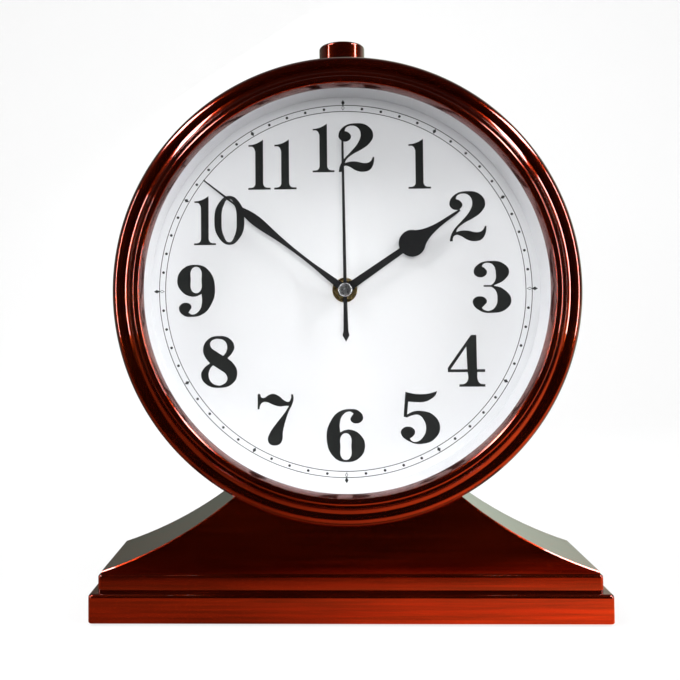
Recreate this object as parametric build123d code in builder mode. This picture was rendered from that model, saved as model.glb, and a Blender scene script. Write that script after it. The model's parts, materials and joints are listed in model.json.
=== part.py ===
from build123d import *
import os
from math import atan2, cos, hypot, pi, radians, sin, sqrt

# Mantel clock: a round wooden drum in a cradle on a two-step plinth, with a battery quartz movement.
# Millimetres, +Z up, front towards -Y. The origin is at the middle of the foot, on the table.
os.makedirs("parts", exist_ok=True)

# ---- base ----
slab_w, slab_d, slab_h = 281.0, 72.0, 15.5        # lower plinth slab
slab_corner, slab_edge, slab_foot_edge = 2.5, 1.8, 0.9
step_w, step_d, step_h = 272.4, 63.0, 9.0         # upper plinth slab
step_corner, step_edge = 2.0, 1.3                 # less than the step shows round the cradle
pad_r, pad_h, pad_inset_x, pad_inset_y = 9.0, 1.0, 46.0, 14.0
foot_w, body_d = 269.3, 60.0                      # cradle: width at its foot, and depth
toe_h, slope_r = 1.4, 225.0                       # upright toe of the slope, and its hollow radius
panel_t, slope_t, saddle_t = 6.0, 6.0, 5.0
panel_edge = 0.5                                  # broken edge of the panels' curved sides
block_x, block_w, block_h = 58.0, 22.0, 15.0      # glue blocks inside the cradle
glue_gap = 0.15                                   # between curved faces that are glued
screw_gap = 0.1                                   # round every fixing screw

# ---- drum ----
drum_r, drum_wall = 128.0, 10.0
drum_gap = 26.0                                   # from the plinth up to the drum
saddle_half_angle = 28.7                          # from straight down to the cradle's upper tips
ledge_depth = 20.0                                # thick front part of the drum, behind the bezel
bezel_h = 12.0                                    # how far the bezel stands in front of the drum
bezel_w = 16.0                                    # from the drum's outside in to the glass's rim
glass_r, glass_t, glass_seat = drum_r - bezel_w, 2.0, 5.0     # seat: how far the glass lies ahead of the drum
fit_gap = 0.3                                     # round the glass and other loose round pieces
gasket_t = 1.0
rehaut_r, rehaut_t = glass_r - 1.4, 1.5           # inner radius and wall of the white cylinder
dial_depth = 19.0                                 # dial front, behind the drum's front
dial_t, board_t = 1.0, 3.0
back_t, back_rebate, back_ledge = 4.0, 5.0, 5.0   # back board and the rebate that it lies in
access = 80.0                                     # square opening in the back board
knob_r, knob_h, knob_edge, knob_seat = 13.2, 16.4, 1.7, 1.4

# ---- movement; depths u run back from the movement's front face ----
move_l, move_r, move_up, move_down = 29.0, 29.0, 27.5, 29.0   # case edges from the hand axis
case_wall, case_depth, cover_t = 1.2, 14.8, 1.2
rubber_t = 1.0
bush_r, tube_gap = 4.0, 0.05                      # tube_gap: running clearance of every arbor
seconds_arbor_r, minute_tube_t, hour_tube_t = 0.75, 0.8, 0.85
post_wall = 0.5
pivot_r = 0.5
cell_r, cell_len, nub_r, nub_len, cell_gap = 7.25, 48.9, 2.75, 1.5, 0.3

# ---- hands ----
hand_t = 0.4
hour_len, minute_len = 0.617 * drum_r, 0.793 * drum_r
second_len, tail_len = 0.695 * drum_r, 0.227 * drum_r
hour_turn, minute_turn, second_turn = 55.7, 308.3, 359.5      # clockwise from twelve, at rest
hour_ahead, minute_ahead, second_ahead = 3.8, 5.4, 7.2        # rear face of each hand, from the dial
cap_r, cap_h = 3.85, 1.9

# ---- heights and depths that follow ----
front_reach = max(body_d / 2 + bezel_h, slab_d / 2)
base_y = (front_reach - slab_d / 2) / 2           # keeps the whole clock centred on the origin
foot_z = pad_h + slab_h + step_h                  # top of the plinth
drum_z = foot_z + drum_gap + drum_r               # the drum's axis
front_y = base_y - body_d / 2
rear_y = base_y + body_d / 2
dial_y = front_y + dial_depth
board_y = dial_y + dial_t
move_y = board_y + board_t + rubber_t
minute_tube_in = seconds_arbor_r + tube_gap
minute_tube_r = minute_tube_in + minute_tube_t
hour_tube_in = minute_tube_r + tube_gap
hour_tube_r = hour_tube_in + hour_tube_t
bush_in = hour_tube_r + tube_gap

drum_axis = Axis((0, base_y, drum_z), (0, 1, 0))


def finish(piece, label):
    """Name a finished sub-part and write it."""
    piece.part.label = label
    export_step(piece.part, f"parts/{label}.step")


def facing(y, turn=0.0):
    """Plane at depth y that faces the viewer, its origin on the hand axis, turned clockwise."""
    a = radians(turn)
    return Plane(origin=(0, y, drum_z), x_dir=(cos(a), 0, -sin(a)), z_dir=(0, -1, 0))


def behind(u):
    """Facing plane at depth u in the movement; a piece drawn on it grows forwards."""
    return facing(move_y + u)


# The half-plane through the hand axis: local x is the radius, local y is the depth.
radial = Plane(origin=(0, 0, drum_z), x_dir=(1, 0, 0), z_dir=(0, 0, 1))


def turned(label, points):
    """A ring or disc turned about the hand axis from corners (radius, depth)."""
    with BuildPart() as ring:
        with BuildSketch(radial):
            with BuildLine():
                Polyline(*points, close=True)
            make_face()
        revolve(axis=drum_axis)
    return ring


# ======================= plinth =======================
with BuildPart() as foot_pads:
    with BuildSketch(Plane.XY):
        with Locations((0, base_y)):
            with GridLocations(slab_w - 2 * pad_inset_x, slab_d - 2 * pad_inset_y, 2, 2):
                Circle(pad_r)
    extrude(amount=pad_h)
finish(foot_pads, "foot_pads")

screw_r, screw_head_r, screw_head_h = 2.0, 4.0, 2.4
screw_bite = 11.0                                 # length in the glue block
screw_pitch_y = 26.0

with BuildPart() as plinth_lower:
    with BuildSketch(Plane.XY.offset(pad_h)):
        with Locations((0, base_y)):
            RectangleRounded(slab_w, slab_d, slab_corner)
    extrude(amount=slab_h)
    fillet(plinth_lower.faces().sort_by(Axis.Z)[-1].edges(), slab_edge)
    fillet(plinth_lower.faces().sort_by(Axis.Z)[0].edges(), slab_foot_edge)
    with BuildSketch(Plane.XY.offset(pad_h)):
        with Locations((0, base_y)):
            with GridLocations(2 * block_x, screw_pitch_y, 2, 2):
                Circle(screw_head_r + screw_gap)
    extrude(amount=screw_head_h, mode=Mode.SUBTRACT)
    with BuildSketch(Plane.XY.offset(pad_h)):
        with Locations((0, base_y)):
            with GridLocations(2 * block_x, screw_pitch_y, 2, 2):
                Circle(screw_r + screw_gap)
    extrude(amount=slab_h, mode=Mode.SUBTRACT)
finish(plinth_lower, "plinth_lower")

with BuildPart() as plinth_upper:
    with BuildSketch(Plane.XY.offset(pad_h + slab_h)):
        with Locations((0, base_y)):
            RectangleRounded(step_w, step_d, step_corner)
    extrude(amount=step_h)
    fillet(plinth_upper.faces().sort_by(Axis.Z)[-1].edges(), step_edge)
    with BuildSketch(Plane.XY.offset(pad_h + slab_h)):
        with Locations((0, base_y)):
            with GridLocations(2 * block_x, screw_pitch_y, 2, 2):
                Circle(screw_r + screw_gap)
    extrude(amount=step_h, mode=Mode.SUBTRACT)
finish(plinth_upper, "plinth_upper")

with BuildPart() as base_screws:
    with BuildSketch(Plane.XY.offset(pad_h)):
        with Locations((0, base_y)):
            with GridLocations(2 * block_x, screw_pitch_y, 2, 2):
                Circle(screw_head_r)
    extrude(amount=screw_head_h)
    with BuildSketch(Plane.XY.offset(pad_h)):
        with Locations((0, base_y)):
            with GridLocations(2 * block_x, screw_pitch_y, 2, 2):
                Circle(screw_r)
    extrude(amount=slab_h + step_h + screw_bite)
    with BuildSketch(Plane.XY.offset(pad_h)):
        with Locations((0, base_y)):
            with GridLocations(2 * block_x, screw_pitch_y, 2, 2):
                Rectangle(screw_head_r * 1.4, 0.8)
                Rectangle(0.8, screw_head_r * 1.4)
    extrude(amount=screw_head_h * 0.5, mode=Mode.SUBTRACT)
finish(base_screws, "base_screws")

# ======================= cradle =======================
seat_r = drum_r + glue_gap                        # hollow that the drum lies in
tip_x = seat_r * sin(radians(saddle_half_angle))
tip_z = drum_z - seat_r * cos(radians(saddle_half_angle))
toe = (foot_w / 2, foot_z + toe_h)
tip = (tip_x, tip_z)


def slope_centre():
    """Centre (x, z) of the right-hand slope's hollow, above and outside it."""
    mx, mz = (toe[0] + tip[0]) / 2, (toe[1] + tip[1]) / 2
    dx, dz = toe[0] - tip[0], toe[1] - tip[1]
    chord = hypot(dx, dz)
    rise = sqrt(slope_r**2 - (chord / 2) ** 2)
    return mx - dz / chord * rise, mz + dx / chord * rise


slope_c = slope_centre()


def slope_mid(side):
    """The point halfway along a slope, on the dial's axes."""
    mx, mz = (toe[0] + tip[0]) / 2, (toe[1] + tip[1]) / 2
    ux, uz = mx - slope_c[0], mz - slope_c[1]
    k = slope_r / hypot(ux, uz)
    return side * (slope_c[0] + ux * k), slope_c[1] + uz * k - drum_z


# The cradle's front outline on the dial's axes: flat foot, toes, hollow slopes and the drum's seat.
with BuildSketch() as cradle_outline:
    with BuildLine():
        Polyline(
            (-toe[0], toe[1] - drum_z),
            (-toe[0], foot_z - drum_z),
            (toe[0], foot_z - drum_z),
            (toe[0], toe[1] - drum_z),
        )
        ThreePointArc((toe[0], toe[1] - drum_z), slope_mid(1), (tip[0], tip[1] - drum_z))
        ThreePointArc((tip[0], tip[1] - drum_z), (0, -seat_r), (-tip[0], tip[1] - drum_z))
        ThreePointArc((-tip[0], tip[1] - drum_z), slope_mid(-1), (-toe[0], toe[1] - drum_z))
    make_face()


for label, panel_y, outward in (
    ("cradle_front_panel", front_y, 0),
    ("cradle_back_panel", rear_y - panel_t, -1),
):
    with BuildPart() as panel:
        with BuildSketch(facing(panel_y + panel_t)):
            add(cradle_outline.sketch)
        extrude(amount=panel_t)
        face = panel.faces().filter_by(Axis.Y).sort_by(Axis.Y)[outward]
        rim = face.edges().filter_by(GeomType.CIRCLE)
        chamfer(rim, panel_edge)
    finish(panel, label)

for label, side in (("cradle_left_slope", -1), ("cradle_right_slope", 1)):
    with BuildPart() as slope:
        with BuildSketch(facing(rear_y - panel_t)):
            add(cradle_outline.sketch)
            with Locations((side * slope_c[0], slope_c[1] - drum_z)):
                Circle(slope_r + slope_t, mode=Mode.INTERSECT)
            Circle(seat_r + saddle_t, mode=Mode.SUBTRACT)
        extrude(amount=body_d - 2 * panel_t)
    finish(slope, label)

drum_screw_y = 12.0
drum_screw_r, drum_screw_head_r, drum_screw_head_h = 1.75, 3.5, 2.2
drum_screw_len = saddle_t + 7.5

with BuildPart() as cradle_saddle:
    with BuildSketch(facing(rear_y - panel_t)):
        add(cradle_outline.sketch)
        Circle(seat_r + saddle_t, mode=Mode.INTERSECT)
    extrude(amount=body_d - 2 * panel_t)
    with BuildSketch(Plane.XY.offset(foot_z)):
        with Locations((0, base_y - drum_screw_y), (0, base_y + drum_screw_y)):
            Circle(drum_screw_r + screw_gap)
    extrude(amount=drum_gap + saddle_t, mode=Mode.SUBTRACT)
finish(cradle_saddle, "cradle_saddle")

with BuildPart() as glue_blocks:
    with BuildSketch(Plane.XY.offset(foot_z)):
        with Locations((-block_x, base_y), (block_x, base_y)):
            Rectangle(block_w, body_d - 2 * panel_t)
    extrude(amount=block_h)
    with BuildSketch(Plane.XY.offset(foot_z)):
        with Locations((0, base_y)):
            with GridLocations(2 * block_x, screw_pitch_y, 2, 2):
                Circle(screw_r + screw_gap)
    extrude(amount=screw_bite + screw_gap, mode=Mode.SUBTRACT)
finish(glue_blocks, "glue_blocks")

saddle_low_z = drum_z - seat_r - saddle_t - 0.1
with BuildPart() as drum_screws:
    with BuildSketch(Plane.XY.offset(saddle_low_z)):
        with Locations((0, base_y - drum_screw_y), (0, base_y + drum_screw_y)):
            Circle(drum_screw_head_r)
    extrude(amount=-drum_screw_head_h)
    with BuildSketch(Plane.XY.offset(saddle_low_z)):
        with Locations((0, base_y - drum_screw_y), (0, base_y + drum_screw_y)):
            Circle(drum_screw_r)
    extrude(amount=drum_screw_len)
finish(drum_screws, "drum_screws")

# ======================= drum =======================
drum_in = drum_r - drum_wall
rehaut_out = rehaut_r + rehaut_t
ledge_r = glass_r + 2 * fit_gap                   # bore of the thick front part
back_rebate_r = drum_in + back_ledge
board_r = drum_in - 2 * fit_gap
dial_screw_pcr = (ledge_r + drum_in) / 2          # radius of the ring of dial screws
dial_screw_r, dial_screw_head_r, dial_screw_head_h, dial_screw_bite = 1.0, 1.9, 1.3, 7.0
back_screw_pcr = back_rebate_r - back_ledge / 2
back_screw_r, back_screw_head_r, back_screw_head_h, back_screw_bite = 1.0, 1.7, 1.2, 9.0
knob_screw_r, knob_screw_head_r, knob_screw_head_h, knob_screw_bite = 2.0, 4.0, 2.6, 9.0
washer_r, washer_t, spot_depth = 5.5, 1.0, 0.4

knob_seat_z = drum_z + drum_r - knob_seat
with BuildPart() as drum_shell:
    with BuildSketch(radial):
        with BuildLine():
            Polyline(
                (ledge_r, front_y),
                (drum_r, front_y),
                (drum_r, rear_y),
                (back_rebate_r, rear_y),
                (back_rebate_r, rear_y - back_rebate),
                (drum_in, rear_y - back_rebate),
                (drum_in, front_y + ledge_depth),
                (ledge_r, front_y + ledge_depth),
                close=True,
            )
        make_face()
    revolve(axis=drum_axis)
    outer_rim = drum_shell.edges().filter_by(GeomType.CIRCLE).filter_by(lambda e: e.radius > drum_r - 0.1)
    fillet(outer_rim.sort_by(Axis.Y)[-1], 2.0)
    with BuildSketch(Plane(origin=(0, base_y, knob_seat_z))):
        Circle(knob_r + fit_gap)
    extrude(amount=2 * knob_seat, mode=Mode.SUBTRACT)
    with BuildSketch(Plane(origin=(0, base_y, drum_z + drum_in + spot_depth))):
        Circle(washer_r + fit_gap)
    extrude(amount=-2 * spot_depth, mode=Mode.SUBTRACT)
    with BuildSketch(Plane(origin=(0, base_y, drum_z + drum_in - 1))):
        Circle(knob_screw_r + screw_gap)
    extrude(amount=drum_wall + 2, mode=Mode.SUBTRACT)
    with BuildSketch(Plane.XY.offset(drum_z - drum_r - 1)):
        with Locations((0, base_y - drum_screw_y), (0, base_y + drum_screw_y)):
            Circle(drum_screw_r + screw_gap)
    extrude(amount=drum_screw_len - saddle_t + 1, mode=Mode.SUBTRACT)
    with BuildSketch(facing(front_y + ledge_depth)):
        with PolarLocations(dial_screw_pcr, 4, start_angle=45):
            Circle(dial_screw_r + screw_gap)
    extrude(amount=dial_screw_bite + screw_gap, mode=Mode.SUBTRACT)
    with BuildSketch(facing(rear_y - back_rebate)):
        with PolarLocations(back_screw_pcr, 6, start_angle=30):
            Circle(back_screw_r + screw_gap)
    extrude(amount=back_screw_bite + screw_gap, mode=Mode.SUBTRACT)
finish(drum_shell, "drum_shell")

# Bezel moulding, as (radius, distance in front of the drum).
outer_bead = (drum_r - 5.0, 0.46 * bezel_h)
valley = (drum_r - 7.1, 0.37 * bezel_h)
bead_foot = (drum_r - 13.1, 0.93 * bezel_h)
crest = (drum_r - 14.7, bezel_h)
bead_in = (drum_r - 17.0, 0.86 * bezel_h)
lip_r = rehaut_r - 0.8
seat_bore = glass_r + fit_gap


def ahead(point):
    """A moulding point in the radial plane."""
    return point[0], front_y - point[1]


with BuildPart() as bezel_ring:
    with BuildSketch(radial):
        with BuildLine():
            bead_mid = (drum_r - 1.45, 0.32 * bezel_h)
            cove_mid = (drum_r - 10.6, 0.57 * bezel_h)
            ThreePointArc(ahead((drum_r, 0)), ahead(bead_mid), ahead(outer_bead))
            ThreePointArc(ahead(outer_bead), ahead((drum_r - 6.3, 0.425 * bezel_h)), ahead(valley))
            ThreePointArc(ahead(valley), ahead(cove_mid), ahead(bead_foot))
            ThreePointArc(ahead(bead_foot), ahead(crest), ahead(bead_in))
            Polyline(
                ahead(bead_in),
                ahead((lip_r, glass_seat + 1.0)),
                ahead((lip_r, glass_seat)),
                ahead((seat_bore, glass_seat)),
                ahead((seat_bore, 0)),
                ahead((drum_r, 0)),
            )
        make_face()
    revolve(axis=drum_axis)
finish(bezel_ring, "bezel_ring")

glass_y = front_y - glass_seat
with BuildPart() as glass_lens:
    with BuildSketch(facing(glass_y + glass_t)):
        Circle(glass_r)
    extrude(amount=glass_t)
    chamfer(glass_lens.edges(), 0.2)
finish(glass_lens, "glass_lens")

gasket_y = glass_y + glass_t
gasket = turned(
    "glass_gasket",
    [
        (rehaut_r, gasket_y),
        (glass_r, gasket_y),
        (glass_r, gasket_y + gasket_t),
        (rehaut_r, gasket_y + gasket_t),
    ],
)
finish(gasket, "glass_gasket")

rehaut = turned(
    "rehaut_ring",
    [
        (rehaut_r, gasket_y + gasket_t),
        (rehaut_out, gasket_y + gasket_t),
        (rehaut_out, dial_y),
        (rehaut_r, dial_y),
    ],
)
finish(rehaut, "rehaut_ring")

with BuildPart() as dial_plate:
    with BuildSketch(facing(board_y)):
        Circle(rehaut_out)
        Circle(bush_r + screw_gap, mode=Mode.SUBTRACT)
    extrude(amount=dial_t)
finish(dial_plate, "dial_plate")

with BuildPart() as dial_board:
    with BuildSketch(facing(board_y + board_t)):
        Circle(board_r)
        Circle(bush_r + screw_gap, mode=Mode.SUBTRACT)
        with PolarLocations(dial_screw_pcr, 4, start_angle=45):
            Circle(dial_screw_r + screw_gap, mode=Mode.SUBTRACT)
    extrude(amount=board_t)
finish(dial_board, "dial_board")


def ring_of_screws(label, y, ring_r, count, start, shank_r, head_r, head_h, length):
    """Pan-head screws driven forwards from depth y, with cross recesses."""
    with BuildPart() as screws:
        with BuildSketch(facing(y)):
            with PolarLocations(ring_r, count, start_angle=start):
                Circle(shank_r)
        extrude(amount=length)
        with BuildSketch(facing(y + head_h)):
            with PolarLocations(ring_r, count, start_angle=start):
                Circle(head_r)
        extrude(amount=head_h)
        with BuildSketch(facing(y + head_h)):
            with PolarLocations(ring_r, count, start_angle=start):
                Rectangle(head_r * 1.3, head_r * 0.25)
                Rectangle(head_r * 0.25, head_r * 1.3)
        extrude(amount=head_h * 0.5, mode=Mode.SUBTRACT)
    finish(screws, label)


ring_of_screws(
    "dial_screws", board_y + board_t, dial_screw_pcr, 4, 45,
    dial_screw_r, dial_screw_head_r, dial_screw_head_h, board_t + dial_screw_bite,
)

back_y = rear_y - back_rebate + back_t            # rear face of the back board
with BuildPart() as back_board:
    with BuildSketch(facing(back_y)):
        Circle(back_rebate_r - fit_gap)
        RectangleRounded(access, access, 6.0, mode=Mode.SUBTRACT)
        with PolarLocations(back_screw_pcr, 6, start_angle=30):
            Circle(back_screw_r + screw_gap, mode=Mode.SUBTRACT)
    extrude(amount=back_t)
    outer = back_board.faces().sort_by(Axis.Y)[-1].edges().filter_by(GeomType.CIRCLE)
    chamfer(outer.sort_by(SortBy.RADIUS)[-1], 0.6)
finish(back_board, "back_board")

ring_of_screws(
    "back_screws", back_y, back_screw_pcr, 6, 30,
    back_screw_r, back_screw_head_r, back_screw_head_h, back_t + back_screw_bite,
)

with BuildPart() as top_knob:
    with BuildSketch(Plane(origin=(0, base_y, knob_seat_z))):
        Circle(knob_r)
    extrude(amount=knob_h)
    fillet(top_knob.faces().sort_by(Axis.Z)[-1].edges(), knob_edge)
    with BuildSketch(Plane(origin=(0, base_y, knob_seat_z))):
        Circle(knob_screw_r + screw_gap)
    extrude(amount=knob_screw_bite + screw_gap, mode=Mode.SUBTRACT)
finish(top_knob, "top_knob")

spot_z = drum_z + drum_in + spot_depth
with BuildPart() as knob_washer:
    with BuildSketch(Plane(origin=(0, base_y, spot_z - washer_t))):
        Circle(washer_r)
        Circle(knob_screw_r + screw_gap, mode=Mode.SUBTRACT)
    extrude(amount=washer_t)
finish(knob_washer, "knob_washer")

with BuildPart() as knob_screw:
    with BuildSketch(Plane(origin=(0, base_y, spot_z - washer_t))):
        Circle(knob_screw_r)
    extrude(amount=knob_seat_z - spot_z + washer_t + knob_screw_bite)
    with BuildSketch(Plane(origin=(0, base_y, spot_z - washer_t))):
        Circle(knob_screw_head_r)
    extrude(amount=-knob_screw_head_h)
    fillet(knob_screw.faces().sort_by(Axis.Z)[0].edges(), 1.0)
    with BuildSketch(Plane(origin=(0, base_y, spot_z - washer_t - knob_screw_head_h))):
        Rectangle(knob_screw_head_r * 1.2, 1.0)
        Rectangle(1.0, knob_screw_head_r * 1.2)
    extrude(amount=1.2, mode=Mode.SUBTRACT)
finish(knob_screw, "knob_screw")

# ======================= movement: train layout =======================
# Each gear mesh has its own module, so that the arbors stand at round distances.
minute_arm, going_arm, rotor_arm = 9.0, 12.0, 8.0
cannon_teeth, motion_teeth = 12, 36
motion_pinion_teeth, hour_teeth = 10, 40
set_teeth = 18
second_pinion_teeth, third_teeth = 8, 60
third_pinion_teeth, centre_teeth = 8, 64
mid_pinion_teeth, second_teeth = 10, 60
rotor_teeth, mid_teeth = 8, 40


def module_of(distance, teeth_a, teeth_b):
    """The tooth module with which two gears mesh at this centre distance."""
    return 2 * distance / (teeth_a + teeth_b)


minute_module = module_of(minute_arm, cannon_teeth, motion_teeth)
hour_module = module_of(minute_arm, motion_pinion_teeth, hour_teeth)
third_module = module_of(going_arm, second_pinion_teeth, third_teeth)
centre_module = module_of(going_arm, third_pinion_teeth, centre_teeth)
mid_module = module_of(going_arm, mid_pinion_teeth, second_teeth)
rotor_module = module_of(rotor_arm, rotor_teeth, mid_teeth)
set_arm = minute_module * (set_teeth + motion_teeth) / 2


def polar(distance, angle, start=(0.0, 0.0)):
    """A point at this distance and anticlockwise angle from another."""
    a = radians(angle)
    return start[0] + distance * cos(a), start[1] + distance * sin(a)


centre_at = (0.0, 0.0)
third_at = polar(going_arm, 45)
motion_at = polar(minute_arm, 135)
set_at = polar(set_arm, 135, motion_at)
mid_at = polar(going_arm, -20)
rotor_at = polar(rotor_arm, 0, mid_at)

# Layers (start, end) behind the movement's front face.
hour_layer = (case_wall + 0.4, case_wall + 1.4)
minute_layer = (hour_layer[1] + 0.6, hour_layer[1] + 1.6)
centre_layer = (minute_layer[1] + 0.7, minute_layer[1] + 1.5)
third_layer = (centre_layer[1] + 1.2, centre_layer[1] + 1.9)
second_layer = (third_layer[1] + 0.9, third_layer[1] + 1.6)
mid_layer = (second_layer[1] + 0.8, second_layer[1] + 1.4)
magnet_layer = (mid_layer[1] + 0.4, mid_layer[1] + 2.2)
stator_layer = (magnet_layer[0] + 0.5, magnet_layer[0] + 1.3)
plate_layer = (magnet_layer[1] + 0.4, magnet_layer[1] + 1.2)
case_end = case_depth
cover_end = case_depth + cover_t

# Flat-sided teeth: half widths as a share of the pitch, heights as a share of the module.
root_half, pitch_half, tip_half = 0.28, 0.19, 0.08
addendum, dedendum = 0.8, 1.1


def gear_outline(teeth, module, phase=0.0):
    """A gear's outline about the origin, with one tooth at angle phase."""
    step = 2 * pi / teeth
    pitch_r = teeth * module / 2
    sides = ((-dedendum, root_half), (0.0, pitch_half), (addendum, tip_half))
    points = []
    for k in range(teeth):
        centre = phase + k * step
        for side in (-1, 1):
            for height, half in sides[::-side]:
                r, a = pitch_r + height * module, centre + side * half * step
                points.append((r * cos(a), r * sin(a)))
    with BuildSketch() as outline:
        with BuildLine():
            Polyline(*points, close=True)
        make_face()
    return outline.sketch


def meshed(at_a, teeth_a, phase_a, at_b, teeth_b):
    """The phase at which gear B's gap meets gear A's tooth on their line of centres."""
    line = atan2(at_b[1] - at_a[1], at_b[0] - at_a[0])
    shift = (phase_a - line) * teeth_a / (2 * pi)
    return line + pi - (shift + 0.5) * 2 * pi / teeth_b


def gear(at, u, teeth, module, phase=0.0):
    """Add a gear between the two depths u to the part being built."""
    outline = gear_outline(teeth, module, phase)
    with BuildSketch(behind(u[1])) as face:
        with Locations(at):
            add(outline)
    extrude(face.sketch, amount=u[1] - u[0])


def rod(at, u0, u1, radius, mode=Mode.ADD):
    """Add or cut a round bar between depths u0 and u1."""
    with BuildSketch(behind(u1)) as disc:
        with Locations(at):
            Circle(radius)
    extrude(disc.sketch, amount=u1 - u0, mode=mode)


bush_ahead = board_t + dial_t + rubber_t + 3.0    # bush length in front of the movement
motion_phase = meshed(centre_at, cannon_teeth, 0.0, motion_at, motion_teeth)
set_phase = meshed(motion_at, motion_teeth, motion_phase, set_at, set_teeth)
hour_phase = meshed(motion_at, motion_pinion_teeth, 0.0, centre_at, hour_teeth)
third_phase = meshed(centre_at, second_pinion_teeth, 0.0, third_at, third_teeth)
centre_phase = meshed(third_at, third_pinion_teeth, 0.0, centre_at, centre_teeth)
mid_pinion_phase = meshed(centre_at, second_teeth, 0.0, mid_at, mid_pinion_teeth)
rotor_phase = meshed(mid_at, mid_teeth, 0.0, rotor_at, rotor_teeth)

hour_hand_front = -(dial_t + board_t + rubber_t) - hour_ahead - hand_t
minute_hand_front = -(dial_t + board_t + rubber_t) - minute_ahead - hand_t
second_hand_front = -(dial_t + board_t + rubber_t) - second_ahead - hand_t

with BuildPart() as hour_wheel:
    gear(centre_at, hour_layer, hour_teeth, hour_module, hour_phase)
    rod(centre_at, hour_hand_front - 0.3, hour_layer[1], hour_tube_r)
    rod(centre_at, hour_hand_front - 1, hour_layer[1], hour_tube_in, Mode.SUBTRACT)
finish(hour_wheel, "hour_wheel")

with BuildPart() as minute_tube:
    gear(centre_at, minute_layer, cannon_teeth, minute_module)
    rod(centre_at, minute_hand_front - 0.3, centre_layer[1] + 0.3, minute_tube_r)
    rod(centre_at, minute_hand_front - 1, centre_layer[1] + 1, minute_tube_in, Mode.SUBTRACT)
finish(minute_tube, "minute_tube")

motion_post_r = 0.9
with BuildPart() as motion_wheel:
    gear(motion_at, hour_layer, motion_pinion_teeth, hour_module)
    gear(motion_at, minute_layer, motion_teeth, minute_module, motion_phase)
    rod(motion_at, hour_layer[1], minute_layer[0], motion_post_r + 0.5)
    rod(motion_at, 0, minute_layer[1], motion_post_r + tube_gap, Mode.SUBTRACT)
finish(motion_wheel, "motion_wheel")

with BuildPart() as centre_wheel:
    gear(centre_at, centre_layer, centre_teeth, centre_module, centre_phase)
    rod(centre_at, 0, centre_layer[1], minute_tube_r + tube_gap, Mode.SUBTRACT)
finish(centre_wheel, "centre_wheel")

pivot_rear = plate_layer[1] - 0.1
with BuildPart() as third_wheel:
    gear(third_at, centre_layer, third_pinion_teeth, centre_module)
    rod(third_at, centre_layer[1], third_layer[0], centre_module * third_pinion_teeth / 2 - 0.4)
    gear(third_at, third_layer, third_teeth, third_module, third_phase)
    rod(third_at, case_wall + 0.6, pivot_rear, pivot_r)
finish(third_wheel, "third_wheel")

with BuildPart() as seconds_wheel:
    gear(centre_at, third_layer, second_pinion_teeth, third_module)
    gear(centre_at, second_layer, second_teeth, mid_module)
    rod(centre_at, third_layer[1], second_layer[0], third_module * second_pinion_teeth / 2)
    rod(centre_at, third_layer[0], second_layer[1], seconds_arbor_r, Mode.SUBTRACT)
finish(seconds_wheel, "seconds_wheel")

with BuildPart() as seconds_arbor:
    rod(centre_at, second_hand_front - 0.4, pivot_rear, seconds_arbor_r)
finish(seconds_arbor, "seconds_arbor")

with BuildPart() as intermediate_wheel:
    gear(mid_at, second_layer, mid_pinion_teeth, mid_module, mid_pinion_phase)
    gear(mid_at, mid_layer, mid_teeth, rotor_module)
    rod(mid_at, second_layer[1], mid_layer[0], mid_module * mid_pinion_teeth / 2 - 0.3)
    rod(mid_at, case_wall + 0.6, pivot_rear, pivot_r)
finish(intermediate_wheel, "intermediate_wheel")

rotor_post_end = mid_layer[0] - 0.8
with BuildPart() as rotor_pinion:
    gear(rotor_at, mid_layer, rotor_teeth, rotor_module, rotor_phase)
    rod(rotor_at, rotor_post_end - 0.8, pivot_rear, pivot_r)
finish(rotor_pinion, "rotor_pinion")

magnet_r = 2.6
with BuildPart() as rotor_magnet:
    rod(rotor_at, magnet_layer[0], magnet_layer[1], magnet_r)
    rod(rotor_at, 0, magnet_layer[1], pivot_r, Mode.SUBTRACT)
finish(rotor_magnet, "rotor_magnet")

set_shaft_r, set_knob_r, set_knob_h = 1.5, 6.0, 4.0
with BuildPart() as set_pinion:
    rod(set_at, case_wall + 0.2, cover_end + 0.4 + set_knob_h * 0.7, set_shaft_r)
    gear(set_at, minute_layer, set_teeth, minute_module, set_phase)
finish(set_pinion, "set_pinion")

with BuildPart() as set_knob:
    rod(set_at, cover_end + 0.4, cover_end + 0.4 + set_knob_h, set_knob_r)
    with BuildSketch(behind(cover_end + 0.4 + set_knob_h)):
        with Locations(set_at):
            with PolarLocations(set_knob_r, 24):
                Circle(0.35)
    extrude(amount=set_knob_h, mode=Mode.SUBTRACT)
    rod(set_at, 0, cover_end + 0.4 + set_knob_h * 0.7, set_shaft_r, Mode.SUBTRACT)
finish(set_knob, "set_knob")

# ======================= movement: fixed pieces =======================
cell_z = -(move_down - case_wall - cell_gap - cell_r)       # battery axis below the hand axis
bay_top = cell_z + cell_r + cell_gap                        # under the wall between battery and train
bay_wall = 0.9
plate_posts = ((-14.5, bay_top + bay_wall + 2.4), (20.0, 18.0), (-6.0, 20.0))
plate_post_r, plate_screw_r = 1.7, 0.6
case_mid = ((move_r - move_l) / 2, (move_up - move_down) / 2)
case_size = (move_l + move_r, move_up + move_down)

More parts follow.
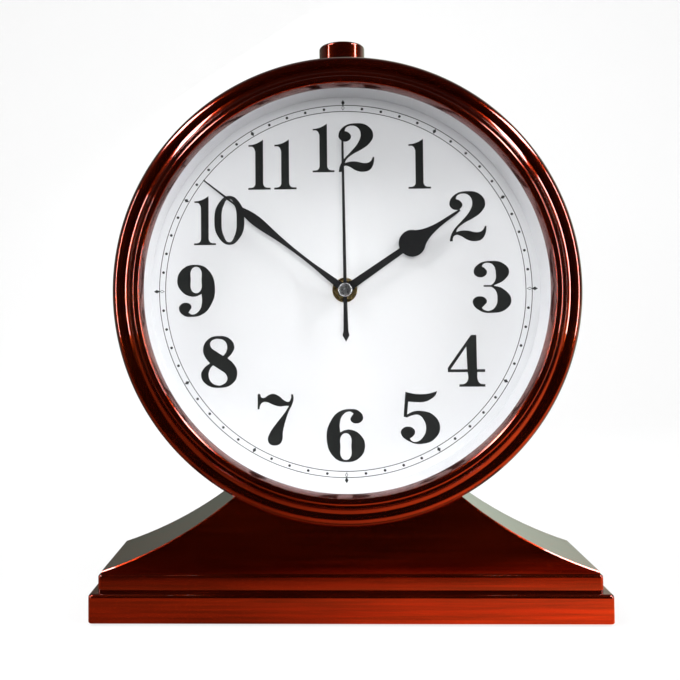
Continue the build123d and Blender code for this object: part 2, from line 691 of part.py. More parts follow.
with BuildPart() as movement_case:
    with BuildSketch(behind(case_end)):
        with Locations(case_mid):
            RectangleRounded(*case_size, 2.5)
    extrude(amount=case_end)
    with BuildSketch(behind(case_end)):
        with Locations((case_mid[0], (move_up - case_wall + bay_top + bay_wall) / 2)):
            Rectangle(case_size[0] - 2 * case_wall, move_up - case_wall - bay_top - bay_wall)
        with Locations((case_mid[0], (bay_top - move_down + case_wall) / 2)):
            Rectangle(case_size[0] - 2 * case_wall, bay_top + move_down - case_wall)
    extrude(amount=case_end - case_wall, mode=Mode.SUBTRACT)
    rod(centre_at, 0, case_wall, bush_r + screw_gap, Mode.SUBTRACT)
    rod(motion_at, case_wall * 0.5, minute_layer[1] + 0.3, motion_post_r)
    for at in (third_at, mid_at):
        rod(at, case_wall * 0.5, case_wall + 2.2, pivot_r + tube_gap + post_wall)
        rod(at, case_wall + 0.5, case_wall + 2.2, pivot_r + tube_gap, Mode.SUBTRACT)
    rod(rotor_at, case_wall * 0.5, rotor_post_end, pivot_r + tube_gap + post_wall)
    rod(rotor_at, rotor_post_end - 1.0, rotor_post_end, pivot_r + tube_gap, Mode.SUBTRACT)
    for at in plate_posts:
        rod(at, case_wall * 0.5, plate_layer[0], plate_post_r)
        rod(at, plate_layer[0] - 4.0, plate_layer[0], plate_screw_r + 0.05, Mode.SUBTRACT)
finish(movement_case, "movement_case")

with BuildPart() as movement_cover:
    with BuildSketch(behind(cover_end)):
        with Locations((case_mid[0], (move_up + bay_top) / 2)):
            RectangleRounded(case_size[0], move_up - bay_top, 2.0)
    extrude(amount=cover_t)
    rod(set_at, 0, cover_end, set_shaft_r + tube_gap, Mode.SUBTRACT)
    with BuildSketch(behind(cover_end)):
        with Locations((10.0, 8.0)):
            with GridLocations(0, 2.4, 1, 5):
                SlotOverall(14.0, 1.0)
    extrude(amount=cover_t * 0.4, mode=Mode.SUBTRACT)
finish(movement_cover, "movement_cover")

with BuildPart() as threaded_bush:
    rod(centre_at, -bush_ahead, case_wall, bush_r)
    rod(centre_at, -bush_ahead, case_wall, bush_in, Mode.SUBTRACT)
finish(threaded_bush, "threaded_bush")

with BuildPart() as rubber_washer:
    rod(centre_at, -rubber_t, 0, 11.0)
    rod(centre_at, -rubber_t, 0, bush_r + screw_gap, Mode.SUBTRACT)
finish(rubber_washer, "rubber_washer")

dial_washer_r, dial_washer_t, nut_r, nut_t = 7.05, 0.5, 6.0, 1.9
dial_face = -(rubber_t + board_t + dial_t)
with BuildPart() as dial_washer:
    rod(centre_at, dial_face - dial_washer_t, dial_face, dial_washer_r)
    rod(centre_at, dial_face - dial_washer_t, dial_face, bush_r + screw_gap, Mode.SUBTRACT)
finish(dial_washer, "dial_washer")

nut_rear = dial_face - dial_washer_t
with BuildPart() as mounting_nut:
    with BuildSketch(behind(nut_rear)):
        RegularPolygon(nut_r, 6)
        Circle(bush_r + tube_gap, mode=Mode.SUBTRACT)
    extrude(amount=nut_t)
finish(mounting_nut, "mounting_nut")

with BuildPart() as bearing_plate:
    with BuildSketch(behind(plate_layer[1])):
        with BuildLine():
            Polyline(
                (-17.0, bay_top + bay_wall + 0.5),
                (21.8, bay_top + bay_wall + 0.5),
                (21.8, 20.0),
                (-8.0, 22.0),
                (-9.0, 17.0),
                (-17.0, 4.0),
                close=True,
            )
        make_face()
        for at, pivot in (
            (centre_at, seconds_arbor_r), (third_at, pivot_r), (mid_at, pivot_r), (rotor_at, pivot_r)
        ):
            with Locations(at):
                Circle(pivot + tube_gap, mode=Mode.SUBTRACT)
        for at in plate_posts:
            with Locations(at):
                Circle(plate_screw_r + 0.05, mode=Mode.SUBTRACT)
    extrude(amount=plate_layer[1] - plate_layer[0])
finish(bearing_plate, "bearing_plate")

with BuildPart() as plate_screws:
    for at in plate_posts:
        rod(at, plate_layer[0] - 3.6, plate_layer[1], plate_screw_r)
        rod(at, plate_layer[1], plate_layer[1] + 0.6, 1.2)
finish(plate_screws, "plate_screws")

# Stator, coil core and coil: a closed loop of sheet round the rotor.
coil_x = 24.8
coil_low, coil_high = -8.9, 4.3
core_half, coil_in, coil_out = 1.0, 1.6, 2.5
with BuildPart() as stator_plate:
    with BuildSketch(behind(stator_layer[1])):
        with BuildLine():
            Polyline(
                (15.4, coil_low - 2.2),
                (27.2, coil_low - 2.2),
                (27.2, coil_low),
                (22.0, coil_low),
                (22.0, coil_high),
                (27.2, coil_high),
                (27.2, coil_high + 2.8),
                (15.4, coil_high + 2.8),
                close=True,
            )
        make_face()
        with Locations((coil_x, (coil_low + coil_high) / 2)):
            Rectangle(2 * core_half, coil_high - coil_low)
        with Locations(rotor_at):
            Circle(magnet_r + 0.4, mode=Mode.SUBTRACT)
    extrude(amount=stator_layer[1] - stator_layer[0])
finish(stator_plate, "stator_plate")

coil_u = (stator_layer[0] + stator_layer[1]) / 2
coil_plane = Plane(origin=(coil_x, move_y + coil_u, drum_z + coil_low + 0.1), z_dir=(0, 0, 1))
coil_len = coil_high - coil_low - 0.2
flange_t = 0.6
with BuildPart() as coil_bobbin:
    with BuildSketch(coil_plane):
        Circle(coil_in)
    extrude(amount=coil_len)
    for rise in (0, coil_len - flange_t):
        with BuildSketch(coil_plane.offset(rise)):
            Circle(coil_out)
        extrude(amount=flange_t)
    with BuildSketch(coil_plane):
        Rectangle(2 * core_half + 0.1, stator_layer[1] - stator_layer[0] + 0.1)
    extrude(amount=coil_len, mode=Mode.SUBTRACT)
finish(coil_bobbin, "coil_bobbin")

with BuildPart() as coil_winding:
    with BuildSketch(coil_plane.offset(flange_t)):
        Circle(coil_out - 0.2)
        Circle(coil_in, mode=Mode.SUBTRACT)
    extrude(amount=coil_len - 2 * flange_t)
finish(coil_winding, "coil_winding")

board_at, board_size = (-22.3, -2.0), (9.6, 17.0)
pcb_u, pcb_t = 10.6, 0.8
with BuildPart() as circuit_board:
    with BuildSketch(behind(pcb_u)):
        with Locations(board_at):
            Rectangle(*board_size)
    extrude(amount=pcb_t)
    for dz in (-6.0, 6.0):
        rod((board_at[0] - 2.5, board_at[1] + dz), case_wall, pcb_u - pcb_t, 1.2)
finish(circuit_board, "circuit_board")

with BuildPart() as driver_chip:
    with BuildSketch(behind(pcb_u + 1.0)):
        with Locations((board_at[0] + 0.8, board_at[1] - 4.6)):
            Circle(2.6)
    extrude(amount=1.0)
    fillet(driver_chip.faces().sort_by(Axis.Y)[-1].edges(), 0.5)
finish(driver_chip, "driver_chip")

with BuildPart() as quartz_crystal:
    crystal_end = (board_at[0], move_y + pcb_u + 1.05, drum_z + board_at[1])
    with BuildSketch(Plane(origin=crystal_end, z_dir=(0, 0, 1))):
        Circle(1.0)
    extrude(amount=6.0)
    fillet(quartz_crystal.faces().sort_by(Axis.Z)[-1].edges(), 0.3)
finish(quartz_crystal, "quartz_crystal")

# Battery bay: spring at the left end, plate at the right.
bay_left, bay_right = -move_l + case_wall, move_r - case_wall
cell_u = case_wall + cell_gap + cell_r
contact_t = 0.5
nub_end = bay_right - 1.0 - contact_t
cell_right = nub_end - nub_len
cell_left = cell_right - cell_len


def across(x):
    """Plane at x that faces +X, its origin on the battery's axis."""
    return Plane(origin=(x, move_y + cell_u, drum_z + cell_z), z_dir=(1, 0, 0))


with BuildPart() as battery_cell:
    with BuildSketch(across(cell_left)):
        Circle(cell_r)
    extrude(amount=cell_len)
    fillet(battery_cell.edges().filter_by(GeomType.CIRCLE), 0.5)
    with BuildSketch(across(cell_right)):
        Circle(nub_r)
    extrude(amount=nub_len)
finish(battery_cell, "battery_cell")

with BuildPart() as battery_contact:
    with BuildSketch(across(nub_end)):
        Rectangle(9.0, 11.0)
    extrude(amount=contact_t)
finish(battery_contact, "battery_contact")

spring_wire = 0.35
spring_turns, spring_r = 3, 3.4
with BuildPart() as battery_spring:
    with BuildSketch(across(bay_left)):
        Rectangle(9.0, 11.0)
    extrude(amount=contact_t)
    gap = cell_left - bay_left - contact_t
    pitch = gap / spring_turns
    for k in range(spring_turns):
        with BuildSketch(across(bay_left + contact_t + k * pitch)):
            Circle(spring_r - 0.6 * k)
            Circle(spring_r - 0.6 * k - 2 * spring_wire, mode=Mode.SUBTRACT)
        extrude(amount=pitch)
finish(battery_spring, "battery_spring")

# ======================= hands =======================
def hand_plane(ahead_of_dial, turn):
    """Plane at a hand's rear face, with local y along the hand."""
    return facing(dial_y - ahead_of_dial, turn)


def mirrored(points):
    """The same half-outline on the other side of the hand, from its far end back."""
    return [(-x, y) for x, y in reversed(points)]


disc_out, disc_r = 0.584 * hour_len, 7.6
shaft_root, shaft_end = 2.35, 1.65                # half-widths of the hour hand's shaft
with BuildPart() as hour_hand:
    with BuildSketch(hand_plane(hour_ahead, hour_turn)):
        Circle(hour_tube_r + 1.6)
        with BuildLine():
            shaft = [(shaft_root, 0), (shaft_end, disc_out)]
            Polyline(*shaft, *mirrored(shaft), close=True)
        make_face()
        with Locations((0, disc_out)):
            Circle(disc_r)
        with BuildLine():
            flare = [
                (disc_r * 0.68, disc_out + disc_r * 0.72),
                (3.0, 0.713 * hour_len),
                (1.7, 0.784 * hour_len),
                (0.9, 0.927 * hour_len),
                (0.55, hour_len),
            ]
            Spline(*flare)
            Line(flare[-1], mirrored(flare)[0])
            Spline(*mirrored(flare))
            Line(mirrored(flare)[-1], flare[0])
        make_face()
        Circle(hour_tube_r, mode=Mode.SUBTRACT)
    extrude(amount=hand_t)
finish(hour_hand, "hour_hand")

with BuildPart() as minute_hand:
    with BuildSketch(hand_plane(minute_ahead, minute_turn)):
        Circle(minute_tube_r + 1.7)
        with BuildLine():
            root = [(2.3, 0.0), (1.35, 0.167 * minute_len)]
            leaf = [
                root[-1],
                (0.95, 0.300 * minute_len),
                (1.90, 0.500 * minute_len),
                (2.90, 0.615 * minute_len),
                (2.60, 0.675 * minute_len),
                (1.20, 0.740 * minute_len),
                (0.65, 0.820 * minute_len),
            ]
            needle = [leaf[-1], (0.38, minute_len)]
            Polyline(*root)
            Spline(*leaf)
            Polyline(*needle, *mirrored(needle))
            Spline(*mirrored(leaf))
            Polyline(*mirrored(root), root[0])
        make_face()
        Circle(minute_tube_r, mode=Mode.SUBTRACT)
    extrude(amount=hand_t)
finish(minute_hand, "minute_hand")

diamond_h = 6.0
with BuildPart() as second_hand:
    with BuildSketch(hand_plane(second_ahead, second_turn)):
        Circle(seconds_arbor_r + 1.8)
        with BuildLine():
            half = [
                (0, -tail_len),
                (1.95, diamond_h * 0.6 - tail_len),
                (1.35, diamond_h - tail_len),
                (0.95, 0),
                (0.6, second_len),
            ]
            Polyline(*half, *mirrored(half[1:]), close=True)
        make_face()
        Circle(seconds_arbor_r, mode=Mode.SUBTRACT)
    extrude(amount=hand_t)
finish(second_hand, "second_hand")

cap_rear = second_hand_front
with BuildPart() as centre_cap:
    rod(centre_at, cap_rear - cap_h, cap_rear, cap_r)
    fillet(centre_cap.faces().sort_by(Axis.Y)[0].edges(), 0.8)
    rod(centre_at, cap_rear - 0.5, cap_rear, seconds_arbor_r + tube_gap, Mode.SUBTRACT)
finish(centre_cap, "centre_cap")
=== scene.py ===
"""Looks of the mantel clock: lacquered mahogany case, printed dial, glass, hands and a quartz movement."""
import json
import math

import bmesh
import bpy
from mathutils import Matrix, Vector

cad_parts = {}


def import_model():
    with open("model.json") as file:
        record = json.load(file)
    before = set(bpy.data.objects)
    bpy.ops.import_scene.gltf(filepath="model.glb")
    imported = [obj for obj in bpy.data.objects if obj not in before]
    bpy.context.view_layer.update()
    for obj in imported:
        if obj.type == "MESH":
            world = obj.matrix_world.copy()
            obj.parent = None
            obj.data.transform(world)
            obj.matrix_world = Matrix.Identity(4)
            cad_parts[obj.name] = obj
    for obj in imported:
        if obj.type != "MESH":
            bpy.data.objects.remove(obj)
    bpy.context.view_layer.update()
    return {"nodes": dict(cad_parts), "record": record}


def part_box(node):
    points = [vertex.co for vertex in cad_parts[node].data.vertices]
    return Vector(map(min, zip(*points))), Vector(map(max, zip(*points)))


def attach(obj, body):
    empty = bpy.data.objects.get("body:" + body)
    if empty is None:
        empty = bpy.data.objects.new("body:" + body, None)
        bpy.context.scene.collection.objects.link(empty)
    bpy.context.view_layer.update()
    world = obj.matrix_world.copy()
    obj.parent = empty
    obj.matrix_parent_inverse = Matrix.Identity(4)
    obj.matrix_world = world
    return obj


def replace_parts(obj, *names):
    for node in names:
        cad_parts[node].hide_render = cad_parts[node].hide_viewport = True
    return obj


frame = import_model()
MM = 0.001


# ---------------------------------------------------------------- places, read from the frame
def span(node):
    """A CAD node's lowest and highest corner as vectors."""
    low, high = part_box(node)
    return Vector(low), Vector(high)


drum_low, drum_high = span("drum_shell")
DRUM_R = (drum_high.x - drum_low.x) / 2
AXIS_Z = drum_high.z - DRUM_R            # height of the hand axis
FRONT_Y = drum_low.y                     # front plane of the drum and the cradle
DIAL_Y = span("dial_plate")[0].y         # printed face of the dial


# ---------------------------------------------------------------- mesh helpers
def add_object(name, mesh):
    """Link a mesh as a piece that rides on the case."""
    obj = bpy.data.objects.new(name, mesh)
    bpy.context.scene.collection.objects.link(obj)
    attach(obj, "case")
    return obj


def soften(mesh, degrees=30):
    """Shade smooth, with creases where faces meet at more than this angle."""
    mesh.shade_smooth()
    mesh.set_sharp_from_angle(angle=math.radians(degrees))


def from_bmesh(name, bm):
    """Turn a bmesh into a mesh with its normals outwards."""
    bmesh.ops.recalc_face_normals(bm, faces=bm.faces)
    mesh = bpy.data.meshes.new(name)
    bm.to_mesh(mesh)
    bm.free()
    return mesh


def on_dial(right, up, ahead=0.0):
    """A point on the dial from millimetres right of and above the hand axis."""
    return Vector((right * MM, DIAL_Y - ahead * MM, AXIS_Z + up * MM))


def clock_point(radius, turn, ahead=0.0):
    """A point on the dial at this radius, turned clockwise from twelve by degrees."""
    a = math.radians(turn)
    return on_dial(radius * math.sin(a), radius * math.cos(a), ahead)


# ---------------------------------------------------------------- materials
class Nodes:
    """A material whose Principled shader takes constants by name and patterns by link."""

    def __init__(self, name, **constants):
        self.material = bpy.data.materials.new(name)
        self.material.use_nodes = True
        self.tree = self.material.node_tree
        self.shader = self.tree.nodes["Principled BSDF"]
        for key, value in constants.items():
            self.shader.inputs[key.replace("_", " ")].default_value = value
        self.place = self.add("ShaderNodeTexCoord").outputs["Object"]

    def add(self, kind, **settings):
        node = self.tree.nodes.new(kind)
        for key, value in settings.items():
            setattr(node, key, value)
        return node

    def link(self, output, target):
        self.tree.links.new(output, target)

    def mapped(self, scale):
        """Object coordinates in metres, stretched by scale."""
        node = self.add("ShaderNodeMapping")
        node.inputs["Scale"].default_value = scale
        self.link(self.place, node.inputs["Vector"])
        return node.outputs["Vector"]

    def noise(self, scale, detail=3.0, roughness=0.55, distortion=0.0):
        """Noise whose grain runs at these scales along X, Y and Z, in cycles a metre."""
        node = self.add("ShaderNodeTexNoise")
        node.inputs["Scale"].default_value = 1.0
        node.inputs["Detail"].default_value = detail
        node.inputs["Roughness"].default_value = roughness
        node.inputs["Distortion"].default_value = distortion
        self.link(self.mapped(scale), node.inputs["Vector"])
        return node.outputs["Fac"]

    def ramp(self, value, *stops):
        """Colours at positions along a value."""
        node = self.add("ShaderNodeValToRGB")
        elements = node.color_ramp.elements
        while len(elements) < len(stops):
            elements.new(0.5)
        for element, (position, colour) in zip(elements, stops):
            element.position = position
            element.color = (*colour, 1.0)
        self.link(value, node.inputs["Fac"])
        return node.outputs["Color"]

    def multiplied(self, amount, a, b):
        """Colour a, multiplied by colour b as far as amount says."""
        node = self.add("ShaderNodeMix", data_type="RGBA", blend_type="MULTIPLY")
        node.inputs["Factor"].default_value = amount
        self.link(a, node.inputs["A"])
        self.link(b, node.inputs["B"])
        return node.outputs["Result"]

    def between(self, value, low, high, in_low=0.3, in_high=0.7):
        """A value carried from one range to another."""
        node = self.add("ShaderNodeMapRange")
        self.link(value, node.inputs["Value"])
        node.inputs["From Min"].default_value = in_low
        node.inputs["From Max"].default_value = in_high
        node.inputs["To Min"].default_value = low
        node.inputs["To Max"].default_value = high
        return node.outputs["Result"]

    def colour(self, output):
        self.link(output, self.shader.inputs["Base Color"])

    def rough(self, output):
        self.link(output, self.shader.inputs["Roughness"])

    def bump(self, height, depth_mm, strength):
        node = self.add("ShaderNodeBump")
        node.inputs["Strength"].default_value = strength
        node.inputs["Distance"].default_value = depth_mm * MM
        self.link(height, node.inputs["Height"])
        self.link(node.outputs["Normal"], self.shader.inputs["Normal"])


def mahogany(name, figure, depth):
    """Red mahogany under polished lacquer; figure is how strong the grain is, depth how light the stain."""
    def stain(*colour):
        return tuple(c * depth for c in colour)

    m = Nodes(name, Metallic=0.94, Coat_Weight=1.0, Coat_Roughness=0.03, Coat_IOR=1.5, Specular_IOR_Level=0.0)
    broad = m.noise((5, 22, 34), detail=4, distortion=0.6)
    fibre = m.noise((11, 330, 420), detail=5, roughness=0.65)
    body = m.ramp(
        broad, (0.25, stain(0.20, 0.0080, 0.0014)), (0.55, stain(0.38, 0.030, 0.0040)),
        (0.8, stain(0.58, 0.085, 0.0120)),
    )
    streaks = m.ramp(fibre, (0.36, (0.45, 0.36, 0.30)), (0.60, (1.0, 1.0, 1.0)))
    m.colour(m.multiplied(figure, body, streaks))
    m.rough(m.between(broad, 0.15, 0.21))
    return m.material


def board(name, dark, light, rough):
    """Unfinished board: fibres along X, dusty and matt."""
    m = Nodes(name, Specular_IOR_Level=0.3)
    fleck = m.noise((120, 700, 700), detail=4)
    m.colour(m.ramp(fleck, (0.3, dark), (0.7, light)))
    m.rough(m.between(fleck, rough - 0.08, rough + 0.06))
    m.bump(fleck, 0.08, 0.5)
    return m.material


def glass():
    """Clear flat glass that lets the lamps through to the dial."""
    m = Nodes("glass", Base_Color=(0.97, 0.985, 0.98, 1), Transmission_Weight=1.0, IOR=1.45)
    smear = m.noise((18, 18, 40), detail=3)
    m.rough(m.between(smear, 0.0, 0.018))
    clear = m.add("ShaderNodeBsdfTransparent")
    rays = m.add("ShaderNodeLightPath")
    choice = m.add("ShaderNodeMixShader")
    m.link(rays.outputs["Is Shadow Ray"], choice.inputs["Fac"])
    m.link(m.shader.outputs["BSDF"], choice.inputs[1])
    m.link(clear.outputs["BSDF"], choice.inputs[2])
    output = m.tree.nodes["Material Output"]
    m.link(choice.outputs["Shader"], output.inputs["Surface"])
    return m.material


def paint(name, colour, rough, tint=0.06, grain=900, relief=0.01, **constants):
    """Sprayed or printed coat: faint mottling, an uneven sheen and a fine orange peel."""
    m = Nodes(name, **constants)
    cloud = m.noise((30, 30, 30), detail=3)
    peel = m.noise((grain, grain, grain), detail=2)
    darker = tuple(c * (1 - tint) for c in colour)
    m.colour(m.ramp(cloud, (0.3, darker), (0.7, colour)))
    m.rough(m.between(peel, rough * 0.85, rough * 1.2))
    m.bump(peel, relief, 0.4)
    return m.material


def metal(name, colour, rough, scratch=(60, 2500, 60), relief=0.006, tint=0.12):
    """Bare metal with directional tooling marks and a little tarnish."""
    m = Nodes(name, Metallic=1.0)
    marks = m.noise(scratch, detail=4, roughness=0.7)
    cloud = m.noise((150, 150, 150), detail=3)
    darker = tuple(c * (1 - tint) for c in colour)
    m.colour(m.ramp(cloud, (0.3, darker), (0.7, colour)))
    m.rough(m.between(marks, rough * 0.75, rough * 1.3))
    m.bump(marks, relief, 0.5)
    return m.material


def felt():
    """Pressed felt: tangled fibres with a soft sheen."""
    m = Nodes("felt", Sheen_Weight=0.5, Sheen_Roughness=0.6, Specular_IOR_Level=0.1)
    fibres = m.noise((1400, 1400, 1400), detail=5, distortion=1.5)
    m.colour(m.ramp(fibres, (0.3, (0.008, 0.008, 0.008)), (0.7, (0.045, 0.043, 0.042))))
    m.rough(m.between(fibres, 0.85, 0.98))
    m.bump(fibres, 0.15, 0.8)
    return m.material


MATERIALS = {
    "mahogany": mahogany("mahogany", 0.85, 0.75),
    "mahogany_turned": mahogany("mahogany_turned", 0.25, 0.45),
    "dark_board": board("dark_board", (0.018, 0.011, 0.008), (0.055, 0.034, 0.024), 0.72),
    "pine": board("pine", (0.42, 0.26, 0.13), (0.62, 0.44, 0.25), 0.75),
    "glass": glass(),
    "dial_white": paint("dial_white", (0.74, 0.74, 0.76), 0.36, tint=0.02, relief=0.004),
    "rehaut_white": paint("rehaut_white", (0.64, 0.64, 0.66), 0.4, tint=0.03, relief=0.006),
    "hand_black": paint("hand_black", (0.012, 0.012, 0.013), 0.33, tint=0.3),
    "silver": metal("silver", (0.78, 0.78, 0.80), 0.28, scratch=(900, 60, 900)),
    "brass": metal("brass", (0.78, 0.56, 0.24), 0.25),
    "steel": metal("steel", (0.56, 0.57, 0.58), 0.3),
    "movement_black": paint("movement_black", (0.028, 0.028, 0.03), 0.5, tint=0.2, grain=2600, relief=0.05),
    "gear_plastic": paint(
        "gear_plastic", (0.80, 0.77, 0.68), 0.38, tint=0.05, Subsurface_Weight=0.15, Subsurface_Scale=0.001
    ),
    "copper": metal("copper", (0.72, 0.28, 0.11), 0.35, scratch=(200, 200, 3200), relief=0.03),
    "magnet": paint("magnet", (0.10, 0.10, 0.105), 0.45, tint=0.25),
    "board_green": paint("board_green", (0.02, 0.16, 0.055), 0.35, tint=0.25),
    "cell_jacket": paint("cell_jacket", (0.03, 0.07, 0.17), 0.28, tint=0.08, Coat_Weight=0.6),
    "rubber": paint("rubber", (0.02, 0.02, 0.02), 0.75, tint=0.3, grain=1800, relief=0.04),
    "felt": felt(),
    "ink": paint("ink", (0.0125, 0.0135, 0.013), 0.42, tint=0.2, relief=0.004),
}

for part in frame["record"]["subparts"]:
    node = frame["nodes"][part["node"]]
    for place in node.material_slots:
        place.material = MATERIALS[part["material_slot"]]
for name in ("bezel_ring", "top_knob"):
    for place in frame["nodes"][name].material_slots:
        place.material = MATERIALS["mahogany_turned"]


# ---------------------------------------------------------------- the bezel, turned smoothly
# Moulding as (radius, distance in front of the drum) in mm; a triple is an arc's end, middle and end.
BEZEL_ARCS = [
    [(128.0, 0.0), (126.55, 3.84), (123.0, 5.52)],
    [(123.0, 5.52), (121.7, 5.10), (120.9, 4.44)],
    [(120.9, 4.44), (117.4, 6.84), (114.9, 11.16)],
    [(114.9, 11.16), (113.3, 12.0), (111.0, 10.32)],
]
BEZEL_LIP = [(109.8, 6.0), (109.8, 5.0), (112.3, 5.0), (112.3, 0.0)]
ARC_STEPS, BEZEL_STEPS = 14, 256           # edges along each arc and around the ring


def arc_points(a, b, c, steps):
    """Points along the circle through a, b and c, from a to just before c."""
    (ax, ay), (bx, by), (cx, cy) = a, b, c
    d = 2 * (ax * (by - cy) + bx * (cy - ay) + cx * (ay - by))
    sa, sb, sc = ax**2 + ay**2, bx**2 + by**2, cx**2 + cy**2
    ux = (sa * (by - cy) + sb * (cy - ay) + sc * (ay - by)) / d
    uy = (sa * (cx - bx) + sb * (ax - cx) + sc * (bx - ax)) / d
    start, middle, end = (math.atan2(y - uy, x - ux) for x, y in (a, b, c))
    turn = (end - start) % math.tau
    if (middle - start) % math.tau > turn:
        turn -= math.tau
    r = math.hypot(ax - ux, ay - uy)
    return [(ux + r * math.cos(start + turn * k / steps), uy + r * math.sin(start + turn * k / steps))
            for k in range(steps)]


def turned_bezel():
    """The bezel as one fine lathe, so that its highlights run clean."""
    profile = [p for arc in BEZEL_ARCS for p in arc_points(*arc, ARC_STEPS)] + [BEZEL_ARCS[-1][2]] + BEZEL_LIP
    bm = bmesh.new()
    rings = []
    for k in range(BEZEL_STEPS):
        c, s = math.cos(math.tau * k / BEZEL_STEPS), math.sin(math.tau * k / BEZEL_STEPS)
        rings.append([bm.verts.new((r * c * MM, FRONT_Y - ahead * MM, AXIS_Z + r * s * MM))
                      for r, ahead in profile])
    for k, ring in enumerate(rings):
        following = rings[(k + 1) % BEZEL_STEPS]
        for i in range(len(profile)):
            j = (i + 1) % len(profile)
            bm.faces.new((ring[i], ring[j], following[j], following[i]))
    mesh = from_bmesh("bezel_turned", bm)
    soften(mesh)
    mesh.materials.append(MATERIALS["mahogany_turned"])
    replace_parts(add_object("bezel_turned", mesh), "bezel_ring")


turned_bezel()


# ---------------------------------------------------------------- the dial's print
# All in mm. A diamond's two numbers are half its length outwards and half its width.
INK = 0.03                                # thickness of the print
NUMERAL_RING = 82.8                       # radius of the figures' centres
TRACK_IN, TRACK_OUT, TRACK_LINE = 102.4, 105.9, 0.42
TRACK_MIDDLE = (TRACK_IN + TRACK_OUT) / 2
DOT_R = 0.78                              # a minute's dot
HOUR_DIAMOND = 1.55, 1.05
QUARTER_DIAMOND, QUARTER_AHEAD = (1.7, 1.05), 1.5      # the black one, this far outside the track
HOLLOW_DIAMOND, HOLLOW_AHEAD = (1.5, 0.9), 0.3         # the hollow one, this far outside the track's middle
HOLLOW_INSIDE = 0.66                      # its inner diamond as a share of the outer one
RING_STEPS, DOT_STEPS = 360, 16


def oval(cx, cy, rx, ry, power=1.0):
    """Eight points of an oval, squarer for a power under 1."""
    points = []
    for k in range(8):
        c, s = math.cos(k * math.pi / 4), math.sin(k * math.pi / 4)
        points.append(
            (cx + rx * math.copysign(abs(c) ** power, c), cy + ry * math.copysign(abs(s) ** power, s))
        )
    return points


def about_middle(points):
    """An outline turned half a turn, as a six makes a nine."""
    return [(SIX_WIDTH - p[0], 100 - p[1], *p[2:]) for p in points]


